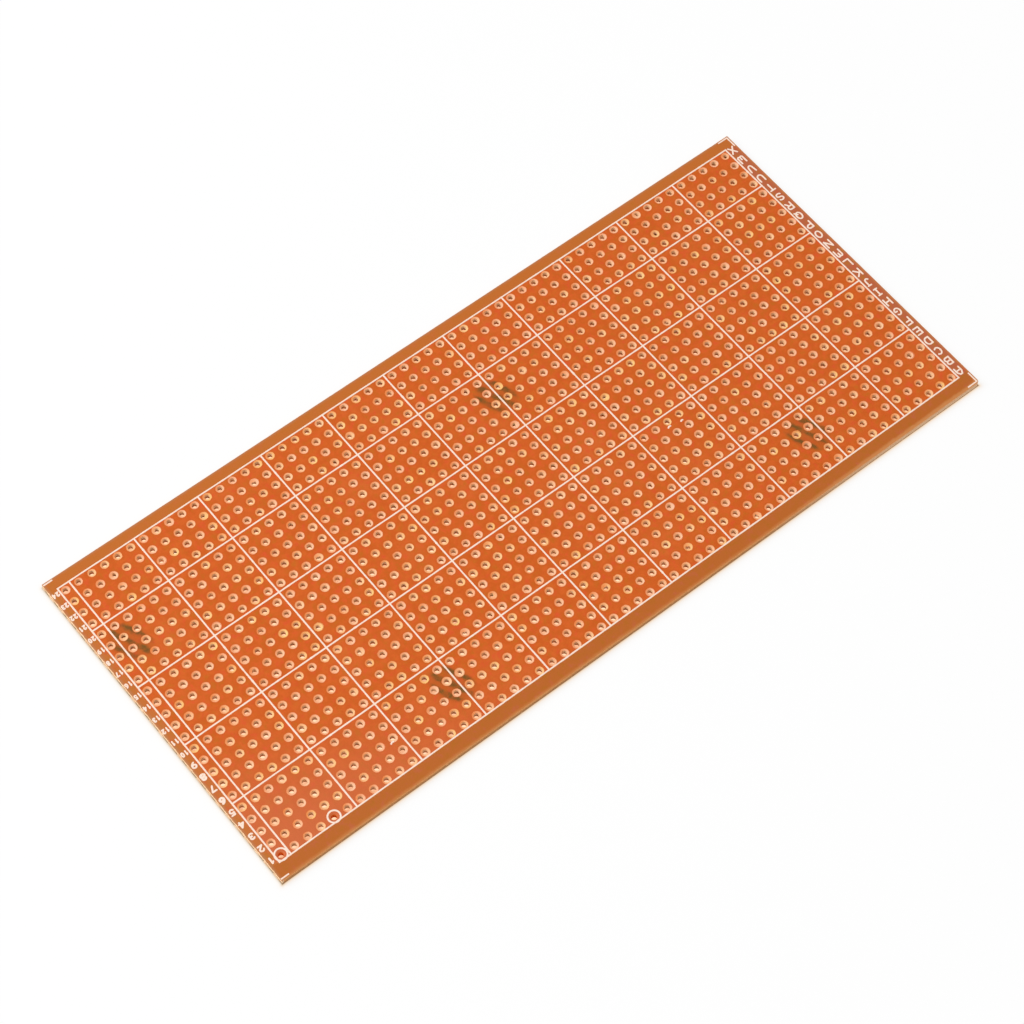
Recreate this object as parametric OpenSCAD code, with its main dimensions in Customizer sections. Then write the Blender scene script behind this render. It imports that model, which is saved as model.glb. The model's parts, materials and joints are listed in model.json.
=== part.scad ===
// Prototype board: a phenolic-paper sheet punched with a grid of lead holes,
// with copper rings and two copper rails etched on its underside and white
// guide lines printed on its component side.
//
// Frame: the board lies component side up. X runs along its length from the
// end that carries the row numbers to the end that carries the row letters,
// Y runs across it from the first row to the last, and Z is up. The origin is
// on the surface that the copper rests on, under the middle of the sheet.

/* [Hole grid] */
// Number of hole columns along the board
columns = 56; // [11:1:70]
// Number of hole rows across the board
rows = 24; // [6:1:30]
// Distance between neighbouring holes
pitch = 2.54; // [2.4:0.01:3.2]
// Diameter of a punched hole
hole_d = 1.0; // [0.7:0.05:1.3]

/* [Sheet] */
// Thickness of the phenolic sheet
sheet_t = 1.2; // [0.8:0.1:2.4]
// Bare sheet past the first column, from the hole centres to the number end
margin_numbers = 2.45; // [2.2:0.05:12]
// Bare sheet past the last column, from the hole centres to the letter end
margin_letters = 3.25; // [2.2:0.05:12]
// Sheet past the first row, from the hole centres to the front edge
margin_front = 3.6; // [3:0.05:12]
// Sheet past the last row, from the hole centres to the back edge
margin_back = 3.2; // [3:0.05:12]
// Radius that wear has left on the front corner of the letter end
worn_corner_r = 0.6; // [0.1:0.1:1.5]

/* [Copper] */
// Thickness of the copper foil
copper_t = 0.035; // [0.018:0.001:0.105]
// Width of the copper ring left around a hole
ring_w = 0.45; // [0.2:0.05:0.5]
// Etched gap between a rail and the nearest copper rings
etch_gap = 0.35; // [0.15:0.05:0.6]
// Bare strip between a rail and the sheared edge of the sheet
rail_inset = 0.3; // [0.1:0.05:0.8]

/* [Printed lines] */
// Thickness of the printed ink
ink_t = 0.03; // [0.01:0.01:0.1]
// Width of a printed line
line_w = 0.28; // [0.15:0.01:0.4]
// Number of columns and rows in one printed block
block = 5; // [2:1:10]
// Number of columns set apart at the number end
lone_columns = 1; // [1:1:5]
// From the outermost hole centres to the middle of the frame line
frame_gap = 0.92; // [0.75:0.01:1.1]
// How far the print sits off the holes, along and across the board
print_shift = 0.07; // [0:0.01:0.15]
// Outer diameter of the circle printed around a marked hole
circle_d = 2.35; // [2:0.05:2.5]
// Stroke of that circle
circle_w = 0.3; // [0.15:0.01:0.4]
// Length of an arm of the corner marks
mark_arm = 1.75; // [0.5:0.05:1.9]
// Stroke of the corner marks
mark_w = 0.22; // [0.12:0.01:0.4]
// From a sheared edge to the middle of a corner mark's arm
mark_inset = 0.36; // [0.25:0.01:0.6]
// How far past the number end the marks were laid out, so that the shears took them
mark_overhang = 0.15; // [0.1:0.01:0.4]

/* [Hidden] */

// The area that the hole centres span, and the sheet around it
grid_l = (columns - 1) * pitch;
grid_w = (rows - 1) * pitch;
sheet_l = margin_numbers + grid_l + margin_letters;
sheet_w = margin_front + grid_w + margin_back;

// The sheet's edges, and the centre of the hole in the first column and row
number_end = -sheet_l / 2;
letter_end = sheet_l / 2;
front_edge = -sheet_w / 2;
back_edge = sheet_w / 2;
first_x = number_end + margin_numbers;
first_y = front_edge + margin_front;
last_x = first_x + grid_l;
last_y = first_y + grid_w;

// Heights of the layers, from the copper up
sheet_z = copper_t;
ink_z = sheet_z + sheet_t;

// Copper around the holes, and where each rail stops towards the holes
ring_d = hole_d + 2 * ring_w;
rail_reach = ring_d / 2 + etch_gap;

// The frame's middle line, past the outermost holes, and shifted with the print
frame_x0 = first_x - frame_gap + print_shift;
frame_x1 = last_x + frame_gap + print_shift;
frame_y0 = first_y - frame_gap + print_shift;
frame_y1 = last_y + frame_gap + print_shift;

// Corner marks, on a rectangle of their own
marks_x0 = number_end - mark_overhang;
marks_x1 = letter_end - mark_inset;
marks_y0 = front_edge + mark_inset;
marks_y1 = back_edge - mark_inset;

// Lines run midway between two columns or rows, after the lone columns and
// then after every full block that has holes beyond it
column_breaks = [for (c = [lone_columns : block : columns - 1]) c];
row_breaks = [for (r = [block : block : rows - 1]) r];

// Columns whose first-row hole is marked with a circle
circled = [0, block - 1];

// Segments of the round shapes
hole_facets = 32;
circle_facets = 64;

// One shape at every hole
module at_holes() {
    for (c = [0 : columns - 1])
        for (r = [0 : rows - 1])
            translate([first_x + c * pitch, first_y + r * pitch])
                children();
}

// Printed stroke of width w between two points in line along X or along Y,
// with square ends that reach half its width beyond them
module stroke(x0, y0, x1, y1, w = line_w) {
    translate([min(x0, x1) - w / 2, min(y0, y1) - w / 2])
        square([abs(x1 - x0) + w, abs(y1 - y0) + w]);
}

// The sheared outline, square at three corners and worn round at one
module sheet_outline() {
    difference() {
        translate([number_end, front_edge])
            square([sheet_l, sheet_w]);
        translate([letter_end - worn_corner_r, front_edge + worn_corner_r])
            difference() {
                translate([0, -2 * worn_corner_r])
                    square(2 * worn_corner_r);
                circle(r = worn_corner_r, $fn = circle_facets);
            }
    }
}

// Strip of copper along a long edge, between y0 and y1
module rail(y0, y1) {
    color("darkorange")
        linear_extrude(copper_t)
            translate([number_end + rail_inset, y0])
                square([sheet_l - 2 * rail_inset, y1 - y0]);
}

module laminate() {
    color("chocolate")
        translate([0, 0, sheet_z])
            linear_extrude(sheet_t)
                difference() {
                    sheet_outline();
                    at_holes()
                        circle(d = hole_d, $fn = hole_facets);
                }
}

module copper_rings() {
    color("orange")
        linear_extrude(copper_t)
            at_holes()
                difference() {
                    circle(d = ring_d, $fn = hole_facets);
                    circle(d = hole_d, $fn = hole_facets);
                }
}

module rail_front() {
    rail(front_edge + rail_inset, first_y - rail_reach);
}

module rail_back() {
    rail(last_y + rail_reach, back_edge - rail_inset);
}

module frame_lines() {
    stroke(frame_x0, frame_y0, frame_x1, frame_y0);
    stroke(frame_x0, frame_y1, frame_x1, frame_y1);
    stroke(frame_x0, frame_y0, frame_x0, frame_y1);
    stroke(frame_x1, frame_y0, frame_x1, frame_y1);
}

module block_lines() {
    for (c = column_breaks)
        let (x = first_x + (c - 0.5) * pitch + print_shift)
            stroke(x, frame_y0, x, frame_y1);
    for (r = row_breaks)
        let (y = first_y + (r - 0.5) * pitch + print_shift)
            stroke(frame_x0, y, frame_x1, y);
}

module hole_circles() {
    for (c = circled)
        translate([first_x + c * pitch + print_shift, first_y + print_shift])
            difference() {
                circle(d = circle_d, $fn = circle_facets);
                circle(d = circle_d - 2 * circle_w, $fn = circle_facets);
            }
}

// Two arms from the corner (x, y) that run inwards, to the side dx and dy
module corner_mark(x, y, dx, dy) {
    stroke(x, y, x + dx * mark_arm, y, mark_w);
    stroke(x, y, x, y + dy * mark_arm, mark_w);
}

// The marks as far as the sheared sheet still carries them
module corner_marks() {
    intersection() {
        union() {
            corner_mark(marks_x0, marks_y0, 1, 1);
            corner_mark(marks_x0, marks_y1, 1, -1);
            corner_mark(marks_x1, marks_y0, -1, 1);
            corner_mark(marks_x1, marks_y1, -1, -1);
        }
        sheet_outline();
    }
}

module guide_print() {
    color("white")
        translate([0, 0, ink_z])
            linear_extrude(ink_t) {
                frame_lines();
                block_lines();
                hole_circles();
                corner_marks();
            }
}

laminate();
copper_rings();
rail_front();
rail_back();
guide_print();
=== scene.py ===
"""Looks of a prototype board: a punched phenolic-paper sheet, its copper and its white guide print.

Shapes are worked out in millimetres in the row frame and put into their meshes in metres. The
places of the holes, the sheet and the copper come from the frame. What repeats over the board is
one array over all the holes.
"""

import json
import math

import bpy
import numpy as np
from mathutils import Matrix, Vector


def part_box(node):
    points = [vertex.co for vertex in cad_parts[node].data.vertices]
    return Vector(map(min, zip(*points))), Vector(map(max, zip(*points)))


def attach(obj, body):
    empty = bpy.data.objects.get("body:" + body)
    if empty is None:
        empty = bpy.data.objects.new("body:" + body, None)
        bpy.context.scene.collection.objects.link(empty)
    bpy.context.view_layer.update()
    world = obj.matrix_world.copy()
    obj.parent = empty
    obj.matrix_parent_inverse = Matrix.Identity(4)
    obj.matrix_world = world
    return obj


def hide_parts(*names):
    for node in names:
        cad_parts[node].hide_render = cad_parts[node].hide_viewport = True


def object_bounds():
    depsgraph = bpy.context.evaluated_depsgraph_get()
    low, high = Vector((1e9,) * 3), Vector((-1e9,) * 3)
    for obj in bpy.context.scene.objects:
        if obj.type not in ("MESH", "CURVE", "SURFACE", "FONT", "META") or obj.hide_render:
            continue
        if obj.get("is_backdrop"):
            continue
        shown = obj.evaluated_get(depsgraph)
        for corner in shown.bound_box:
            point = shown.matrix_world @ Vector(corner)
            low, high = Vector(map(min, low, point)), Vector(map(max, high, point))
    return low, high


MM = 0.001
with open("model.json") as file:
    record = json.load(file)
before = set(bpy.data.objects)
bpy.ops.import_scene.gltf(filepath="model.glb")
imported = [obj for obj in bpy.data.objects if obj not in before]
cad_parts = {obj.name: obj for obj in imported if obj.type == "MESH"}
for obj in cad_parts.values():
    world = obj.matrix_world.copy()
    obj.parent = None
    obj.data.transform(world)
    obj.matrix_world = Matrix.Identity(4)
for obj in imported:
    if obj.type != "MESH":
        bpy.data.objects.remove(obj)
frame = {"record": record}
cad_low, cad_high = ([float(v) for v in corner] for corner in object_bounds())


# ---- Sizes from the frame, in millimetres ----------------


def node_box(name):
    """Lowest and highest corner of a CAD node, in millimetres."""
    low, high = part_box(name)
    return np.array(low) / MM, np.array(high) / MM


mounts = {mount["name"]: mount for mount in frame["record"]["mounts"]}
PITCH = 2.54
hole_r = mounts["lead_hole"]["dims"]["r_mm"]
first_hole = np.array(mounts["lead_hole"]["pos_m"][:2]) / MM
last_hole = np.array(mounts["far_lead_hole"]["pos_m"][:2]) / MM
columns, rows = np.rint((last_hole - first_hole) / PITCH).astype(int) + 1

sheet_low, sheet_high = node_box("laminate")
rail_boxes = {name: node_box(name) for name in ("rail_front", "rail_back")}
ring_box = node_box("copper_rings")
ink_top = node_box("guide_print")[1][2]
ring_r = first_hole[0] - ring_box[0][0]
under, face = sheet_low[2], sheet_high[2]

# The printed frame and blocks. The whole print is shifted against the holes.
LINE_W = 0.28
FRAME_GAP = 0.92
PRINT_SHIFT = 0.07
BLOCK = 5

# The ink's bevel, and the steps in height that keep the tops of crossing lines apart
INK_BEVEL = 0.03
INK_STEP = 0.001

# Holes of the first row that are circled, by column, and their circles
CIRCLED = (0, BLOCK - 1)
CIRCLE_R = 1.03
CIRCLE_W = 0.3
CIRCLE_POINTS = 40

# Corner marks: each corner's arms came out a little different. They are set in from the sheet's
# sides, except at the number end, where they run over the side, and the ink stops just before it
MARK_W = 0.26
MARK_ARM = 1.75
MARK_ARM_FAR = 2.0
MARK_ARM_UPRIGHT = 2.15
MARK_INSET = 0.36
MARK_OVERHANG = 0.15
MARK_CLEAR = 0.09

# Stray specks of ink: their places past the first hole and their lengths, their shared width,
# and their shared shape for a length of 1
SPECKS = ((95.9, 21.8, 0.5), (98.4, 21.5, 0.35), (24.6, 4.4, 0.5))
SPECK_W = 0.3
SPECK_SHAPE = np.array([[0, 0], [0.5, 0.3], [1, 0.2]])

frame_low = first_hole - FRAME_GAP + PRINT_SHIFT
frame_high = last_hole + FRAME_GAP + PRINT_SHIFT

# The sides of every round shape, the least share of a bar's width that its bevels leave on top,
# and the seeds of the random draws
SIDES = 16
LEAST_TOP = 0.3
LINES_SEED, RIMS_SEED, SHEARED_SEED, RAILS_SEED = 3, 5, 11, 20


# ---- Meshes ----------------------------------------------


def new_object(name, data):
    """A new object in the scene, for a mesh, a lamp or a camera."""
    thing = bpy.data.objects.new(name, data)
    bpy.context.scene.collection.objects.link(thing)
    return thing


def add_piece(name, points, quads, materials, slots=None, attribute=None):
    """A flat-shaded mesh object that rides on the board, from (n, 3) points and (m, 4) corners."""
    mesh = bpy.data.meshes.new(name)
    mesh.vertices.add(len(points))
    mesh.vertices.foreach_set("co", (np.asarray(points) * MM).astype(np.float32).ravel())
    mesh.loops.add(quads.size)
    mesh.loops.foreach_set("vertex_index", quads.astype(np.int32).ravel())
    mesh.polygons.add(len(quads))
    mesh.polygons.foreach_set("loop_start", np.arange(0, quads.size, 4, dtype=np.int32))
    if slots is not None:
        mesh.polygons.foreach_set("material_index", slots.astype(np.int32))
    mesh.polygons.foreach_set("use_smooth", np.zeros(len(quads), bool))
    for material in materials:
        mesh.materials.append(material)
    mesh.update(calc_edges=True)
    if attribute is not None:
        layer = mesh.attributes.new(attribute[0], "FLOAT_VECTOR", "POINT")
        layer.data.foreach_set("vector", attribute[1].astype(np.float32).ravel())
    piece = new_object(name, mesh)
    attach(piece, "root")
    return piece


def grid_quads(index, wrap_first=False, wrap_second=False):
    """The quads of a grid of point numbers, which may close on itself along either way."""
    if wrap_first:
        index = np.concatenate([index, index[:1]])
    if wrap_second:
        index = np.concatenate([index, index[:, :1]], axis=1)
    corners = [index[:-1, :-1], index[1:, :-1], index[1:, 1:], index[:-1, 1:]]
    return np.stack([corner.ravel() for corner in corners], axis=1)


def repeat_quads(quads, points_each, count):
    """The same quads for count copies of a shape whose points follow one another."""
    return (quads[None] + points_each * np.arange(count)[:, None, None]).reshape(-1, 4)


def weld(points, quads, step=1e-4):
    """Joins points that lie on the same spot."""
    spots = np.rint(points / step).astype(np.int64)
    _, first, place = np.unique(spots, axis=0, return_index=True, return_inverse=True)
    return points[first], place.reshape(-1)[quads]


def smooth_noise(rng, length, spacing, places):
    """Values from -1 to 1 that change evenly along a length, to a new random one every spacing."""
    knots = np.arange(0, length + 2 * spacing, spacing)
    return np.interp(places, knots, rng.uniform(-1, 1, len(knots)))


def hole_centres():
    """(n, 2) centres of the holes, row by row, with each hole's column and row number."""
    column, row = np.meshgrid(np.arange(columns), np.arange(rows))
    numbers = np.stack([column.ravel(), row.ravel()], axis=1)
    return first_hole + numbers * PITCH, numbers


def angles(steps):
    """Even angles once round."""
    return np.arange(steps) * 2 * math.pi / steps


def turn():
    """Unit circle at SIDES even angles, and the same rays cut off on a square of half width 1."""
    angle = angles(SIDES)
    circle = np.stack([np.cos(angle), np.sin(angle)], axis=1)
    return circle, circle / np.abs(circle).max(axis=1, keepdims=True)


def rings(centres, profile, ragged=0.0):
    """A closed ring at each centre. profile is (n, stations, 4): radius, shift in x and y, height.

    ragged is added to the radius and may differ round the ring.
    """
    circle, _ = turn()
    stations = profile.shape[1]
    points = np.empty((len(centres), stations, SIDES, 3))
    radius = profile[:, :, None, 0] + ragged
    points[..., :2] = centres[:, None, None] + profile[:, :, None, 1:3] + radius[..., None] * circle
    points[..., 2] = profile[:, :, None, 3]
    index = np.arange(stations * SIDES).reshape(stations, SIDES)
    one = grid_quads(index, wrap_first=True, wrap_second=True)
    return points.reshape(-1, 3), repeat_quads(one, stations * SIDES, len(centres))


def ribbon(path, width, base, top, bevel, closed=False):
    """A flat bar along a path: its section across each point rises from base to top and back."""
    if closed:
        along = np.roll(path, -1, axis=0) - np.roll(path, 1, axis=0)
    else:
        along = np.gradient(path, axis=0)
    along /= np.linalg.norm(along, axis=1, keepdims=True)
    across = np.stack([-along[:, 1], along[:, 0]], axis=1)
    half = np.broadcast_to(width, len(path)) / 2
    narrow = np.maximum(half - bevel, half * LEAST_TOP)
    points = np.empty((len(path), 4, 3))
    sides = (-half, -narrow, narrow, half)
    for station, (side, height) in enumerate(zip(sides, (base, top, top, base))):
        points[:, station, :2] = path + across * side[:, None]
        points[:, station, 2] = height
    index = np.arange(4 * len(path)).reshape(-1, 4)
    quads = grid_quads(index, wrap_first=closed, wrap_second=True)
    if not closed:
        quads = np.concatenate([quads, index[:1], index[-1:, ::-1]])
    if top < base:
        quads = quads[:, ::-1]
    return points.reshape(-1, 3), quads


def join(shapes):
    """Several shapes as one."""
    starts = np.cumsum([0] + [len(points) for points, _ in shapes[:-1]])
    points = np.concatenate([points for points, _ in shapes])
    return points, np.concatenate([quads + start for (_, quads), start in zip(shapes, starts)])


# ---- Materials -------------------------------------------


# A satin surface's specular level, the pale sheen that it adds to a colour, and the least colour
SATIN = 0.25
SHEEN = 0.02
DARKEST = 0.002


def paint(red, green, blue):
    """Linear colour that reads as a display colour, 0 to 255, once satin adds its pale sheen."""
    share = np.array([red, green, blue]) / 255
    linear = np.where(share <= 0.04045, share / 12.92, ((share + 0.055) / 1.055) ** 2.4)
    return (*(float(v) for v in np.maximum(linear - SHEEN, DARKEST)), 1.0)


class Signal:
    """A shader socket. Arithmetic on it adds the Math nodes that it needs."""

    def __init__(self, finish, socket):
        self.finish, self.socket = finish, socket

    def math(self, operation, *others):
        """A Math node on this value and the others."""
        inputs = dict(enumerate((self, *others)))
        return self.finish.add("ShaderNodeMath", {"operation": operation}, inputs)

    def __add__(self, other):
        return self.math("ADD", other)

    __radd__ = __add__

    def __mul__(self, other):
        return self.math("MULTIPLY", other)

    __rmul__ = __mul__

    def __sub__(self, other):
        return self.math("SUBTRACT", other)

    def __rsub__(self, other):
        return (self * -1.0) + other

    def __truediv__(self, other):
        return self.math("DIVIDE", other)

    def __pow__(self, other):
        return self.math("POWER", other)

    def __abs__(self):
        return self.math("ABSOLUTE")

    def step(self, start, end):
        """0 up to start, 1 from end on, and an eased rise between them. start may be the larger."""
        settings = {"interpolation_type": "SMOOTHSTEP"}
        inputs = {0: self, 1: start, 2: end}
        if start > end:
            inputs = {0: self, 1: end, 2: start, 3: 1.0, 4: 0.0}
        return self.finish.add("ShaderNodeMapRange", settings, inputs)


class Finish:
    """A procedural material: its nodes, and its shader with the constants set on its sockets.

    Its place signal is the object coordinates in millimetres.
    """

    def __init__(self, name, **constants):
        self.material = bpy.data.materials.new(name)
        self.material.use_nodes = True
        self.tree = self.material.node_tree
        self.shader = self.tree.nodes["Principled BSDF"]
        for socket, value in constants.items():
            self.shader.inputs[socket.replace("_", " ")].default_value = value
        metres = self.add("ShaderNodeTexCoord", output="Object")
        scaled = {0: metres, "Scale": 1 / MM}
        self.place = self.add("ShaderNodeVectorMath", {"operation": "SCALE"}, scaled)

    def add(self, kind, settings=None, inputs=None, output=0):
        """Any node: type, settings, and its sockets' values or signals by name or number."""
        node = self.tree.nodes.new(kind)
        for name, value in (settings or {}).items():
            setattr(node, name, value)
        for socket, value in (inputs or {}).items():
            if isinstance(value, Signal):
                self.tree.links.new(value.socket, node.inputs[socket])
            else:
                node.inputs[socket].default_value = value
        return Signal(self, node.outputs[output])

    def parts(self, vector):
        """The three numbers of a vector."""
        split = self.add("ShaderNodeSeparateXYZ", inputs={0: vector})
        return [Signal(self, socket) for socket in split.socket.node.outputs]

    def noise(self, size, detail=3.0, rough=0.55, stretch=None):
        """Noise from 0 to 1 with features of about size, longer by stretch along each way."""
        place = self.place
        if stretch:
            divide = {"operation": "DIVIDE"}
            place = self.add("ShaderNodeVectorMath", divide, {0: place, 1: stretch})
        inputs = {"Vector": place, "Scale": 1 / size, "Detail": detail, "Roughness": rough}
        return self.add("ShaderNodeTexNoise", inputs=inputs)

    def mix(self, factor, first, second):
        """A colour between first and second."""
        settings = {"data_type": "RGBA", "clamp_factor": True}
        node = self.add("ShaderNodeMix", settings, {0: factor, 6: first, 7: second})
        return Signal(self, node.socket.node.outputs[2])

    def lay(self, colour, *coats):
        """A colour with coats over it, each with how much it covers and its own colour."""
        for cover, coat in coats:
            colour = self.mix(cover, colour, coat)
        return colour

    def use(self, colour=None, roughness=None, bump=None, depth=0.01):
        """Feeds the shader a colour, a roughness, and a height that swings depth millimetres."""
        feeds = {"Base Color": colour, "Roughness": roughness}
        if bump is not None:
            inputs = {"Height": bump, "Distance": depth * MM, "Strength": 1.0}
            feeds["Normal"] = self.add("ShaderNodeBump", inputs=inputs)
        for socket, value in feeds.items():
            if value is not None:
                self.tree.links.new(value.socket, self.shader.inputs[socket])
        return self.material


ORANGE = paint(217, 103, 47)
ORANGE_DEEP = paint(206, 97, 42)
ORANGE_PALE = paint(219, 110, 57)
ORANGE_RED = paint(224, 88, 54)
ORANGE_OCHRE = paint(194, 110, 30)
ORANGE_GLARE = paint(209, 113, 74)
ORANGE_SHADE = paint(202, 98, 42)
RAIL_BROWN = paint(187, 106, 51)
RAIL_RED = paint(192, 104, 66)
RAIL_OLIVE = paint(180, 108, 44)
RAIL_PALE = paint(204, 118, 56)
NUMBER_END = paint(197, 116, 62)
NUMBER_END_RED = paint(208, 98, 60)
LETTER_END = paint(186, 105, 73)
LETTER_END_RED = paint(196, 94, 66)
END_OLIVE = paint(186, 118, 46)
WORN_TAN = paint(208, 138, 84)
WORN_GREY = paint(184, 132, 98)
BATCH_MARK = paint(78, 80, 44)
RIM_CREAM = paint(255, 203, 167)
RIM_YELLOW = paint(255, 214, 132)
RIM_DULL = paint(243, 145, 85)
LIP = paint(255, 220, 176)
WALL = paint(255, 218, 168)
WALL_DEEP = paint(255, 198, 144)
WALL_RED = paint(248, 146, 62)
# Painted shade on the half of each hole's wall and lip towards the front edge
WALL_SHADE = paint(208, 102, 46)
EDGE_BURNISHED = paint(234, 162, 100)
EDGE_TORN = paint(214, 154, 100)
EDGE_DEEP_SHADED = paint(184, 130, 80)
EDGE_CREAM = paint(250, 214, 174)
EDGE_TAN = paint(190, 134, 88)
EDGE_GREY = paint(172, 150, 118)
EDGE_WORN_TOP = paint(236, 188, 146)
EDGE_WORN = paint(252, 218, 180)
INK = paint(255, 231, 214)
INK_THIN = paint(251, 206, 175)
COPPER = paint(236, 150, 108)
COPPER_DULL = paint(176, 92, 62)

# The front edge grows paler from the first of these places along the board to the second
WORN_FRONT = (first_hole[0] + 90, first_hole[0] + 128)

# How far painted glare, paler towards the number end's front corner, reaches along and across the
# board
GLARE_REACH = (62, 26)

# The radii between which a copper ring behind the sheet shades it
RING_SHADE = (1.15, 0.85)

# Where a margin's colour starts and is full, past the axes of the outermost holes
FRONT_MARGIN = (-0.55, -0.95)
BACK_MARGIN = (0.75, 1.15)
NUMBER_MARGIN = (-0.6, -1.5)
LETTER_MARGIN = (0.6, 1.3)

# Marks under the surface: their middles past the first hole, their outline's half width and
# length, and their strokes' half width, spacing and lean
BATCH_PLACES = ((2.9, 44.3), (77.2, 44.3), (38.5, 6.7), (113.4, 6.7))
BATCH_HALF_WIDTH = 3.0
BATCH_HALF_LENGTH = 4.2
BATCH_BAR = 0.42
BATCH_GAP = 2.0
BATCH_LEAN = math.radians(24)


def batch_marks(finish, x, y, cloud):
    """Soft parallel strokes in an oval: the leaning coordinate is near a stroke's middle."""
    wave = (finish.noise(1.4, detail=2.0, rough=0.5) - 0.5) * 1.1
    total = None
    for middle in BATCH_PLACES:
        across = x - (first_hole[0] + middle[0])
        along = y - (first_hole[1] + middle[1])
        lean = across * math.cos(BATCH_LEAN) + along * math.sin(BATCH_LEAN)
        rise = along * math.cos(BATCH_LEAN) - across * math.sin(BATCH_LEAN)
        bar = (lean + wave).math("PINGPONG", BATCH_GAP / 2).step(BATCH_BAR + 0.35, BATCH_BAR - 0.25)
        oval = (lean / BATCH_HALF_WIDTH) ** 2.0 + (rise / BATCH_HALF_LENGTH) ** 2.0
        mark = (bar * 0.72 + 0.28) * (oval + wave * 0.5).step(1.15, 0.55)
        total = mark if total is None else total + mark
    return total * (cloud.step(0.35, 0.6) * 0.5 + 0.5)


def hole_distance(x, y):
    """Distance to the nearest hole's axis: both coordinates folded back and forth once a pitch.

    The folds start a hundred pitches before the first hole, so that nothing is negative.
    """
    start = first_hole - 100 * PITCH
    fold_x = (x - start[0]).math("PINGPONG", PITCH / 2)
    fold_y = (y - start[1]).math("PINGPONG", PITCH / 2)
    return (fold_x * fold_x + fold_y * fold_y) ** 0.5


def past_axis(value, start):
    """How far a coordinate is past the nearest hole's axis: from minus to plus half a pitch."""
    return (value - start).math("WRAP", PITCH / 2, -PITCH / 2)


def past(value, start, span):
    """0 up to span's first distance past start, and 1 from its second on."""
    return value.step(start + span[0], start + span[1])


def brown_margins(finish, colour, x, y, mottle, red, olive):
    """Painted glare over one corner, and the margins: brown by the ends and over the copper rails.
    """
    # Painted glare: the face is paler towards the number end's front corner
    glare = (x - sheet_low[0]) * (1 / GLARE_REACH[0]) + (y - sheet_low[1]) * (1 / GLARE_REACH[1])
    ragged = (mottle - 0.5) * 0.5
    front = past(y + ragged, first_hole[1], FRONT_MARGIN)
    back = past(y + ragged, last_hole[1], BACK_MARGIN)
    numbers = past(x + ragged, first_hole[0], NUMBER_MARGIN)
    letters = past(x + ragged, last_hole[0], LETTER_MARGIN)
    speckle = mottle.step(0.5, 0.34) * 0.6
    number_end = finish.lay(NUMBER_END, (red * 0.7, NUMBER_END_RED), (speckle, END_OLIVE))
    letter_end = finish.lay(LETTER_END, (red * 0.7, LETTER_END_RED), (speckle, END_OLIVE))
    rail = finish.lay(
        RAIL_BROWN,
        (red * 0.85, RAIL_RED),
        (olive * 0.8, RAIL_OLIVE),
        (back * 0.5, RAIL_PALE),
    )
    return finish.lay(
        colour,
        (glare.step(1.2, 0.1) * 0.8, ORANGE_GLARE),
        (numbers * 0.9, number_end),
        (letters * 0.9, letter_end),
        ((front + back) * 0.94, rail),
    )


def phenolic_face(name, printed_side):
    """Orange-brown phenolic paper: cloudy resin and fibres, browner where copper lies behind it."""
    finish = Finish(name, Specular_IOR_Level=SATIN)
    x, y, _ = finish.parts(finish.place)
    cloud = finish.noise(9.0)
    mottle = finish.noise(1.3, detail=4.0, rough=0.6)
    hue = finish.noise(1.3, rough=0.65, stretch=(1.0, 1.2, 1.0))
    fibre = finish.noise(0.22, detail=2.0, rough=0.6, stretch=(2.2, 1.0, 1.0))
    red, olive = hue.step(0.52, 0.7), hue.step(0.48, 0.3)
    colour = finish.lay(
        ORANGE_DEEP,
        (mottle.step(0.36, 0.68), ORANGE),
        (cloud.step(0.45, 0.8) * 0.6, ORANGE_PALE),
        (red * 0.65, ORANGE_RED),
        (olive * 0.6, ORANGE_OCHRE),
        (fibre.step(0.56, 0.78) * 0.22, ORANGE_PALE),
        (hole_distance(x, y).step(*RING_SHADE) * 0.5, ORANGE_SHADE),
    )
    if printed_side:
        colour = brown_margins(finish, colour, x, y, mottle, red, olive)
    marks = batch_marks(finish, x, y, mottle)
    colour = finish.mix(marks * (0.8 if printed_side else 0.4), colour, BATCH_MARK)
    from_side = (abs(x) * -1.0 + sheet_high[0]).math("MINIMUM", abs(y) * -1.0 + sheet_high[1])
    grey = past(y, sheet_high[1], (-1.2, -0.8)) + past(x, sheet_low[0], (0.9, 0.6))
    worn_front = x.step(*WORN_FRONT) * past(y, sheet_low[1], (1.2, 0.9))
    worn = (from_side + (mottle - 0.5) * 0.5 - worn_front * 0.3).step(0.6, 0.05)
    tan = finish.mix(grey, WORN_TAN, WORN_GREY)
    colour = finish.mix(worn * (worn_front * 0.35 + 0.55), colour, tan)
    roughness = mottle * 0.2 + fibre * 0.1 + 0.42
    relief = mottle * 0.6 + fibre * 0.4
    return finish.use(colour, roughness, relief, 0.012)


def punched_wall():
    """Torn paper inside the holes: plies of resin, and painted shade, deeper red, on each wall's
    half towards the front edge.
    """
    finish = Finish("punched_wall", Roughness=0.8, Specular_IOR_Level=SATIN)
    x, y, _ = finish.parts(finish.place)
    plies = finish.noise(0.16, rough=0.6, stretch=(1.5, 1.5, 0.5))
    colour = finish.mix(plies, WALL_DEEP, WALL)
    # Painted shade: the wall's half towards the front edge is deeper red
    colour = finish.mix(past_axis(y, first_hole[1]).step(-0.02, -0.32) * 0.9, colour, WALL_SHADE)
    first_row = past(y, first_hole[1], (0.9, 0.8))
    for column in CIRCLED:
        beside = abs(x - (first_hole[0] + column * PITCH))
        colour = finish.mix(first_row * beside.step(0.9, 0.8), colour, WALL_RED)
    return finish.use(colour, None, plies, 0.03)


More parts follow.
